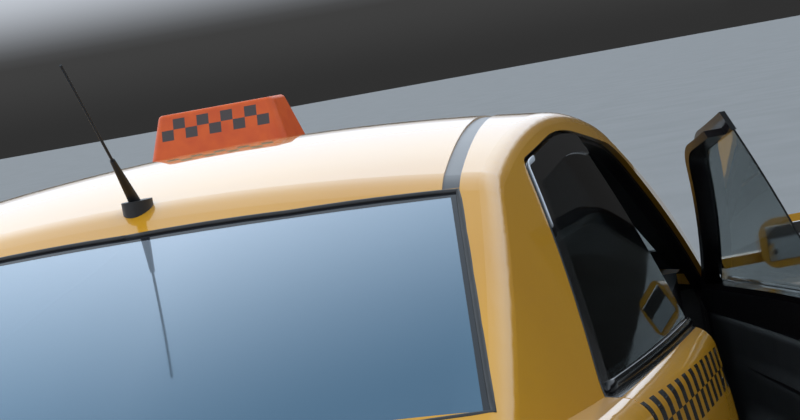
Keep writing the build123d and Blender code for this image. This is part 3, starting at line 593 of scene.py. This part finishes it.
def pad(name, size, body, place, replaced=(), radius=0.05, crown=0.02, pull=0.012, seams=(), cross_seams=(),
        cuts=19):
    """A stuffed pad: a rounded block, crowned on top, drawn in between its corners, with sewn channels."""
    bm = bmesh.new()
    bmesh.ops.create_cube(bm, size=2)
    bmesh.ops.subdivide_edges(bm, edges=bm.edges[:], cuts=cuts, use_grid_fill=True)
    half = [v / 2 for v in size]
    for vert in bm.verts:
        u, v, w = vert.co
        p = Vector((u * half[0], v * half[1], w * half[2]))
        edge = min(radius, *(h * 0.98 for h in half))
        core = Vector([max(-(h - edge), min(h - edge, c)) for h, c in zip(half, p)])
        away = p - core
        if away.length > 1e-6:
            p = core + away.normalized() * min(edge, away.length)
        lift = (1 - u * u) * (1 - v * v)
        p.z += crown * lift * w
        p.x -= pull * u * abs(u) * (1 - v * v)
        p.y -= pull * v * abs(v) * (1 - u * u)
        if w > 0:
            for c in seams:
                p.z -= 0.011 * math.exp(-(((v - c) / 0.035) ** 2)) * (1 - u**6) * w
            for c in cross_seams:
                p.z -= 0.011 * math.exp(-(((u - c) / 0.035) ** 2)) * (1 - v**6) * w
        vert.co = p
    obj = add_piece(name, bm, CLOTH.mat, body, subdivide=1, place=place)
    if replaced:
        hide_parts(*replaced)
    return obj


# Seats: sizes lengthwise, across and high, places in x and z, and turns about Y in degrees
SEAT_Y = 0.375
CUSHION_SIZE = (0.46, 0.45, 0.17)
CUSHION_X, CUSHION_Z, CUSHION_TURN = 0.345, 0.375, -6
SEAT_BACK_SIZE = (0.50, 0.45, 0.115)
SEAT_BACK_X, SEAT_BACK_Z, SEAT_BACK_TURN = -0.035, 0.715, -75.5
HEADREST_SIZE = (0.14, 0.25, 0.085)
HEADREST_X, HEADREST_Z, HEADREST_TURN = -0.13, 1.07, -78
POSTS_X, POSTS_Z = -0.118, 1.0
POST_R = 0.006
SEAT_BASE_SIZE = (0.44, 0.40, 0.10)
SEAT_BASE_X, SEAT_BASE_Z = 0.31, 0.290
SEAT_RUNNER_SIZE = (0.42, 0.03, 0.02)
SEAT_RUNNER_Z = 0.248
BENCH_SIZE = (0.40, 1.25, 0.19)
BENCH_X, BENCH_Z, BENCH_TURN = -0.70, 0.365, -3
BENCH_BACK_SIZE = (0.53, 1.20, 0.11)
BENCH_BACK_X, BENCH_BACK_Z, BENCH_BACK_TURN = -0.945, 0.70, -81
SEAT_CHANNELS = (-0.5, 0.5)
BENCH_CHANNELS = (-0.36, -0.12, 0.12, 0.36)
HEADREST_POST_Y = 0.05
SEAT_RUNNER_Y = 0.17


def front_seat(side, y):
    """A front seat: cushion, back, headrest on two posts, and a base on two runners."""
    cushion = at(CUSHION_X, y, CUSHION_Z, CUSHION_TURN)
    pad(f"seat_cushion_{side}", CUSHION_SIZE, "car", cushion, ("front_seats",),
        seams=SEAT_CHANNELS, cross_seams=(-0.25, 0.35))
    back = at(SEAT_BACK_X, y, SEAT_BACK_Z, SEAT_BACK_TURN)
    pad(f"seat_back_{side}", SEAT_BACK_SIZE, "car", back, ("front_seats",),
        seams=SEAT_CHANNELS, cross_seams=(-0.4, 0.1, 0.55))
    headrest = at(HEADREST_X, y, HEADREST_Z, HEADREST_TURN)
    pad(f"headrest_{side}", HEADREST_SIZE, "car", headrest, radius=0.04, crown=0.008, pull=0.006, cuts=11)
    posts = []
    for off in (-HEADREST_POST_Y, HEADREST_POST_Y):
        posts.append((sweep([(0, 0, -0.05), (0, 0, 0.06)], POST_R), at(POSTS_X, y + off, POSTS_Z)))
    add_piece(f"headrest_posts_{side}", join(*posts), RIM, "car")
    base = [(block(SEAT_BASE_SIZE, 0.02), at(SEAT_BASE_X, y, SEAT_BASE_Z))]
    for off in (-SEAT_RUNNER_Y, SEAT_RUNNER_Y):
        base.append((block(SEAT_RUNNER_SIZE, 0.004), at(SEAT_BASE_X, y + off, SEAT_RUNNER_Z)))
    add_piece(f"seat_base_{side}", join(*base), TRIM, "car")


def seats():
    """Front seats and the rear bench."""
    for side, sign in both_sides():
        front_seat(side, sign * SEAT_Y)
    bench = at(BENCH_X, 0, BENCH_Z, BENCH_TURN)
    pad("bench_cushion", BENCH_SIZE, "car", bench, ("rear_bench",), radius=0.06, crown=0.012,
        seams=BENCH_CHANNELS, cuts=23)
    back = at(BENCH_BACK_X, 0, BENCH_BACK_Z, BENCH_BACK_TURN)
    pad("bench_back", BENCH_BACK_SIZE, "car", back, ("rear_bench",), radius=0.045, crown=0.012,
        seams=BENCH_CHANNELS, cuts=23)


# Half of the tyre's section, from the bead to the tread's middle: y and radius
TYRE_SIDE = [
    (0.085, 0.1952), (0.0925, 0.215), (0.093, 0.232), (0.0915, 0.2345), (0.093, 0.237), (0.0915, 0.250),
    (0.089, 0.262), (0.085, 0.275), (0.081, 0.288), (0.077, 0.297), (0.071, 0.3015), (0.063, 0.305),
    (0.048, 0.305), (0.0472, 0.298), (0.0408, 0.298), (0.040, 0.305), (0.018, 0.305), (0.0172, 0.298),
    (0.0108, 0.298), (0.010, 0.305),
]
TREAD_STEPS = 240
SHOULDER_R = 0.2995
SHOULDER_Y = 0.028
TREAD_CUT = 0.0055

WHEEL_BOLTS = 5
BOLT_CIRCLE_R = 0.052
BOLT = [(-0.002, 0.0), (-0.002, 0.0105), (0.008, 0.0105), (0.011, 0.0085), (0.011, 0.0)]
HUB_CAP = [(0.0, 0.034), (0.006, 0.034), (0.010, 0.029), (0.012, 0.0)]


def tread_radius(i, y, r):
    """Outline of the tread: long grooves, and cross cuts in the shoulders."""
    cut = r >= SHOULDER_R and i % 4 == 0 and abs(y) > SHOULDER_Y
    return r - TREAD_CUT if cut else r


def tyres():
    """Tyres with grooves and shoulder blocks, and hub caps and bolts on the wheels."""
    profile = TYRE_SIDE + [(-y, r) for y, r in reversed(TYRE_SIDE)]
    for end, x in (("front", FRONT_AXLE_X), ("rear", REAR_AXLE_X)):
        for side, sign in both_sides():
            body = f"wheel_{end}_{side}"
            here = at(x, sign * TRACK_HALF, TYRE_R)
            ring = lathe(profile, TREAD_STEPS, tread_radius)
            tyre = add_piece(f"tyre_tread_{end}_{side}", ring, RUBBER, body, place=here)
            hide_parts(f"tyre_{end}_{side}")
            fittings = []
            for k in range(WHEEL_BOLTS):
                a = 2 * math.pi * k / WHEEL_BOLTS
                spot = at(BOLT_CIRCLE_R * math.cos(a), sign * 0.070, BOLT_CIRCLE_R * math.sin(a))
                fittings.append((lathe(BOLT, 6), spot))
            cap = [(sign * y, r) for y, r in HUB_CAP]
            fittings.append((lathe(cap, 40), at(0, sign * 0.068, 0)))
            add_piece(f"wheel_bolts_{end}_{side}", join(*fittings), CAST, body, place=here)


# Inner door panels: from x to x, low and high edge, and how far they lie in from the skin
TRIM_SPAN = {"front": (0.03, 0.90), "rear": (-0.97, -0.18)}
TRIM_LOW_Z = 0.30
TRIM_HEIGHT = 0.55
TRIM_DEPTH = 0.095
TRIM_UPPER_HALF = 0.788
TRIM_STEP_Z = 0.735
TRIM_OFF = 0.004
TRIM_COLUMNS = 36
TRIM_ROWS = 30
ARCH_R = 0.43
ARCH_MARGIN = 0.02
ARMREST_Z = 0.60
ARMREST_DEPTH = 0.052
POCKET_Z = 0.375
POCKET_DEPTH = 0.016


def swell(value, middle, half, power):
    """1 near the middle, falling to 0 beyond half on either side."""
    return math.exp(-(((value - middle) / half) ** power))


def trim_panel(end, sign):
    """A door's inner panel with its armrest and map pocket."""
    low_x, high_x = TRIM_SPAN[end]
    middle = (low_x + high_x) / 2 - 0.03
    bm = bmesh.new()
    grid = []
    for j in range(TRIM_ROWS + 1):
        z = TRIM_LOW_Z + TRIM_HEIGHT * j / TRIM_ROWS
        first = low_x
        if end == "rear":
            arch = math.sqrt(max(ARCH_R**2 - (z - TYRE_R) ** 2, 0))
            first = max(low_x, REAR_AXLE_X + arch + ARCH_MARGIN)
        line = []
        for i in range(TRIM_COLUMNS + 1):
            x = first + (high_x - first) * i / TRIM_COLUMNS
            lower = body_half(x, z) - TRIM_DEPTH
            upper = TRIM_UPPER_HALF - x * x / (2 * CABIN_PLAN_R)
            share = min(max((z - TRIM_STEP_Z) / 0.02, 0), 1)
            y = lower + (upper - lower) * share - TRIM_OFF
            y -= ARMREST_DEPTH * swell(z, ARMREST_Z, 0.032, 4) * swell(x, middle, 0.24, 6)
            y -= POCKET_DEPTH * swell(z, POCKET_Z, 0.06, 4) * swell(x, middle, 0.30, 6)
            line.append(bm.verts.new((x, sign * y, z)))
        grid.append(line)
    for below, above in zip(grid, grid[1:]):
        for i in range(TRIM_COLUMNS):
            bm.faces.new((below[i], below[i + 1], above[i + 1], above[i]))
    return bm


HANDLE_Z = 0.835
HANDLE_FROM_EDGE = 0.125
HANDLE_SIZE = (0.20, 0.022, 0.030)
HANDLE_OUT = 0.016
HANDLE_FOOT_SIZE = (0.030, 0.03, 0.026)
HANDLE_FOOT_OUT = 0.002
HANDLE_FOOT_OFF = 0.08
MIRROR_GLASS_SIZE = (0.003, 0.135, 0.082)
MIRROR_GLASS_X, MIRROR_GLASS_Y, MIRROR_GLASS_Z = 0.6995, 0.936, 1.010


def door_handle(end, sign):
    """A pull handle on two feet."""
    x = TRIM_SPAN[end][0] + HANDLE_FROM_EDGE
    skin = body_half(x - 0.04, HANDLE_Z + 0.005)
    grip = (block(HANDLE_SIZE, 0.010, 5), at(x, sign * (skin + HANDLE_OUT), HANDLE_Z))
    feet = []
    for off in (-HANDLE_FOOT_OFF, HANDLE_FOOT_OFF):
        spot = at(x + off, sign * (skin + HANDLE_FOOT_OUT), HANDLE_Z)
        feet.append((block(HANDLE_FOOT_SIZE, 0.008, 4), spot))
    return join(grip, *feet)


def door_trims():
    """Inner panels with armrests, handles outside, and mirror glasses."""
    for side, sign in both_sides():
        for end in TRIM_SPAN:
            body = f"door_{end}_{side}"
            trim = add_piece(f"door_trim_{end}_{side}", trim_panel(end, sign), TRIM, body)
            shell = trim.modifiers.new("thickness", "SOLIDIFY")
            shell.thickness = 0.003
            shell.offset = 0
            add_piece(f"door_handle_{end}_{side}", door_handle(end, sign), BLACK, body)
        glass_pane = block(MIRROR_GLASS_SIZE, 0.0012, 2)
        here = at(MIRROR_GLASS_X, sign * MIRROR_GLASS_Y, MIRROR_GLASS_Z)
        add_piece(f"mirror_glass_{side}", glass_pane, MIRROR, f"door_front_{side}", place=here)


# Right half of each glass's outline in plan, from its middle round to its middle
REAR_GLASS_EDGE = [
    (-0.980, 0.0), (-0.970, 0.276), (-0.941, 0.550), (-1.190, 0.594), (-1.436, 0.638), (-1.484, 0.40),
    (-1.521, 0.0),
]
SCREEN_EDGE = [(0.399, 0.0), (0.399, 0.560), (0.74, 0.614), (1.079, 0.667), (1.125, 0.33), (1.167, 0.0)]
SEAL_R = 0.0045
SEAL_STEPS = 8

# Upper rear corner of the rear door's window frame: centre, radius, ends of the arc, and the edges beyond it
CORNER_CENTRE = Vector((-0.6482, 1.302))
CORNER_R = 0.060
CORNER_ARC = (math.radians(94.0), math.radians(136.1))
TOP_EDGE = Vector((0.9976, 0.0696))
REAR_EDGE = Vector((-0.693, -0.721))

BELT_STRIPS = {"front": (-0.066, 0.855), "rear": (-0.985, -0.094)}
BELT_STRIP_DROP = 0.006
BELT_STRIP_R = 0.013
BELT_STRIP_STEPS = 20


def corner_strip_line():
    """Places (x, z) along the edge of the rear door's window round its upper rear corner."""
    first, last = CORNER_ARC
    line = [CORNER_CENTRE + CORNER_R * Vector((math.cos(first), math.sin(first))) + TOP_EDGE * 0.045]
    for k in range(7):
        turn = first + (last - first) * k / 6
        line.append(CORNER_CENTRE + CORNER_R * Vector((math.cos(turn), math.sin(turn))))
    start = line[-1]
    return [*line, *(start + REAR_EDGE * 0.030 * k for k in range(1, 5))]


def glass_seals():
    """Rubber round the rear glass and the screen, and a strip at the rear doors' upper corner whose light
    grey is a painted highlight.
    """
    for name, half in (("rear_glass_seal", REAR_GLASS_EDGE), ("screen_seal", SCREEN_EDGE)):
        outline = [(x, -y) for x, y in reversed(half)] + half
        path = []
        for i, (x0, y0) in enumerate(outline):
            x1, y1 = outline[(i + 1) % len(outline)]
            for k in range(SEAL_STEPS):
                x = x0 + (x1 - x0) * k / SEAL_STEPS
                y = y0 + (y1 - y0) * k / SEAL_STEPS
                path.append((x, y, roof_z(x, y) - 0.004))
        add_piece(name, sweep(path, SEAL_R, 1.3, closed=True), RUBBER_SEAL, "car")
    for side, sign in both_sides():
        path = [(x, sign * (cabin_half(x, z) + 0.001), z) for x, z in corner_strip_line()]
        add_piece(f"corner_strip_{side}", sweep(path, 0.006, 0.4), PAINTED_HIGHLIGHT_STRIP, f"door_rear_{side}")


def door_skin(x, z):
    """How far the skin of the left doors stands from the middle plane."""
    start = Vector((x, 2.0, z))
    for end in BELT_STRIPS:
        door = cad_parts[f"door_{end}_left"]
        inverse = door.matrix_world.inverted()
        way = inverse.to_3x3() @ Vector((0, -1, 0))
        hit, place, normal, face = door.ray_cast(inverse @ start, way)
        if hit:
            return (door.matrix_world @ place).y - CENTRE_Y
    return cabin_half(x, z)


def belt_strips():
    """Gloss black strips under the side glass."""
    for side, sign in both_sides():
        for end, (low_x, high_x) in BELT_STRIPS.items():
            path = []
            for k in range(BELT_STRIP_STEPS + 1):
                x = low_x + (high_x - low_x) * k / BELT_STRIP_STEPS
                z = SILL_AT_0 + SILL_SLOPE * x - BELT_STRIP_DROP
                path.append((x, sign * (door_skin(x, z) - 0.001), z))
            strip = sweep(path, BELT_STRIP_R, 0.55, sides=12)
            add_piece(f"belt_strip_{end}_{side}", strip, GLOSS_BLACK, f"door_{end}_{side}")


# Number plates: name, place, the body that they ride on, and which way they face
PLATES = [("rear", -2.204, 0.80, "boot_lid", -1), ("front", 2.213, 0.47, "car", 1)]
PLATE_SIZE = (0.004, 0.520, 0.111)
HOLDER_SIZE = (0.010, 0.535, 0.125)


def plates():
    """Blank number plates in black holders."""
    for name, x, z, body, facing in PLATES:
        turn = 180 if facing < 0 else 0
        holder = block(HOLDER_SIZE, 0.004)
        add_piece(f"plate_holder_{name}", holder, BLACK, body, place=at(x, 0, z, 0, turn))
        plate = block(PLATE_SIZE, 0.0015, 2)
        add_piece(f"number_plate_{name}", plate, PLATE, body, place=at(x + facing * 0.0065, 0, z, 0, turn))


# Wipers: name, foot and tip in plan
WIPERS = [("left", (1.135, 0.46), (0.87, -0.02)), ("right", (1.150, -0.06), (0.90, -0.52))]
WIPER_STEPS = 8
WIPER_FOOT = [(-0.012, 0.0), (-0.012, 0.014), (0.012, 0.012), (0.014, 0.0)]


def wipers():
    """Wiper arms with blades along the screen, each on a round foot."""
    for name, (x0, y0), (x1, y1) in WIPERS:
        path = []
        for k in range(WIPER_STEPS + 1):
            x = x0 + (x1 - x0) * k / WIPER_STEPS
            y = y0 + (y1 - y0) * k / WIPER_STEPS
            path.append((x, y, roof_z(x, y) + 0.006))
        blade = [(x, y, z - 0.003) for x, y, z in path[3:]]
        arm = [(x + 0.01, y, z + 0.010) for x, y, z in path[:7]]
        here = Matrix.Identity(4)
        foot = (lathe(WIPER_FOOT, 24), at(*arm[0], 0, 0, 90))
        wiper = join((sweep(blade, 0.004), here), (sweep(arm, 0.006), here), foot)
        add_piece(f"wiper_{name}", wiper, BLACK, "car")


seats()
tyres()
door_trims()
glass_seals()
belt_strips()
plates()
wipers()


def camera():
    """Camera at the photograph's viewpoint."""
    cy, sy = math.cos(EYE_YAW), math.sin(EYE_YAW)
    cp, sp = math.cos(EYE_DIP), math.sin(EYE_DIP)
    forward = Vector((cp * cy, cp * sy, -sp))
    level = Vector((sy, -cy, 0))
    down = forward.cross(level)
    cr, sr = math.cos(EYE_ROLL), math.sin(EYE_ROLL)
    right = cr * level + sr * down
    under = cr * down - sr * level
    data = bpy.data.cameras.new("camera")
    data.sensor_width = SENSOR_MM
    data.lens = FOCAL_PX / PICTURE_WIDTH * SENSOR_MM
    data.clip_start = 0.05
    obj = bpy.data.objects.new("camera", data)
    bpy.context.scene.collection.objects.link(obj)
    turn = Matrix((right, -under, -forward)).transposed()
    obj.matrix_world = Matrix.Translation(EYE) @ turn.to_4x4()
    bpy.context.scene.camera = obj


# Sky by the sine of the height above the skyline, which stands higher on the right
SKYLINE_RIGHT = 0.26
SKYLINE_TURN = (0.05, -0.22)
SKY = [
    (0.0, (0.030, 0.030, 0.030)),
    (0.035, (0.05, 0.05, 0.05)),
    (0.075, (0.58, 0.62, 0.68)),
    (0.13, (1.22, 1.36, 1.56)),
    (0.42, (1.50, 1.70, 1.92)),
    (0.70, (1.05, 1.20, 1.35)),
    (1.0, (0.42, 0.52, 0.62)),
]
LAMP_AT = (-0.5, 2.5, 5.5)
LAMP_SIZE = (7, 5)
LAMP_TURN = math.radians(-22)
LAMP_WATTS = 90
FLOOR_SIZE = 300


def sky():
    """An overcast dome over a dark skyline."""
    world = bpy.data.worlds.new("overcast")
    bpy.context.scene.world = world
    world.use_nodes = True
    tree = world.node_tree
    coords = tree.nodes.new("ShaderNodeTexCoord")
    xyz = tree.nodes.new("ShaderNodeSeparateXYZ")
    tree.links.new(coords.outputs["Generated"], xyz.inputs[0])
    right = tree.nodes.new("ShaderNodeMapRange")
    tree.links.new(xyz.outputs["Y"], right.inputs["Value"])
    limits = (*SKYLINE_TURN, 0.0, SKYLINE_RIGHT)
    for key, value in zip(("From Min", "From Max", "To Min", "To Max"), limits):
        right.inputs[key].default_value = value
    height = tree.nodes.new("ShaderNodeMath")
    height.operation = "SUBTRACT"
    tree.links.new(xyz.outputs["Z"], height.inputs[0])
    tree.links.new(right.outputs["Result"], height.inputs[1])
    ramp = tree.nodes.new("ShaderNodeValToRGB")
    tree.links.new(height.outputs[0], ramp.inputs["Fac"])
    ramp.color_ramp.interpolation = "EASE"
    stops = ramp.color_ramp.elements
    stops[0].position, stops[1].position = SKY[0][0], SKY[-1][0]
    stops[0].color, stops[1].color = (*SKY[0][1], 1), (*SKY[-1][1], 1)
    for position, colour in SKY[1:-1]:
        stops.new(position).color = (*colour, 1)
    tree.links.new(ramp.outputs["Color"], tree.nodes["Background"].inputs["Color"])
    tree.nodes["Background"].inputs["Strength"].default_value = 1.0


def lamp():
    """A soft lamp overhead that mirrors in nothing."""
    area = bpy.data.lights.new("overhead", "AREA")
    area.shape = "RECTANGLE"
    area.size, area.size_y = LAMP_SIZE
    area.energy = LAMP_WATTS
    obj = bpy.data.objects.new("overhead", area)
    obj.location = LAMP_AT
    obj.rotation_euler = (LAMP_TURN, 0, 0)
    obj.visible_glossy = False
    bpy.context.scene.collection.objects.link(obj)


def studio_floor():
    """A plain grey floor."""
    mesh = bpy.data.meshes.new("floor")
    bm = bmesh.new()
    bmesh.ops.create_grid(bm, x_segments=1, y_segments=1, size=FLOOR_SIZE)
    bm.to_mesh(mesh)
    bm.free()
    floor = bpy.data.objects.new("floor", mesh)
    bpy.context.scene.collection.objects.link(floor)
    grey = Shader("grey_floor", srgb(120, 120, 119), 0.85)
    grey.vary_colour(srgb(122, 122, 121), srgb(116, 116, 115), 0.8)
    mesh.materials.append(grey.mat)


camera()
sky()
lamp()
studio_floor()
bpy.context.scene.view_settings.view_transform = "Standard"
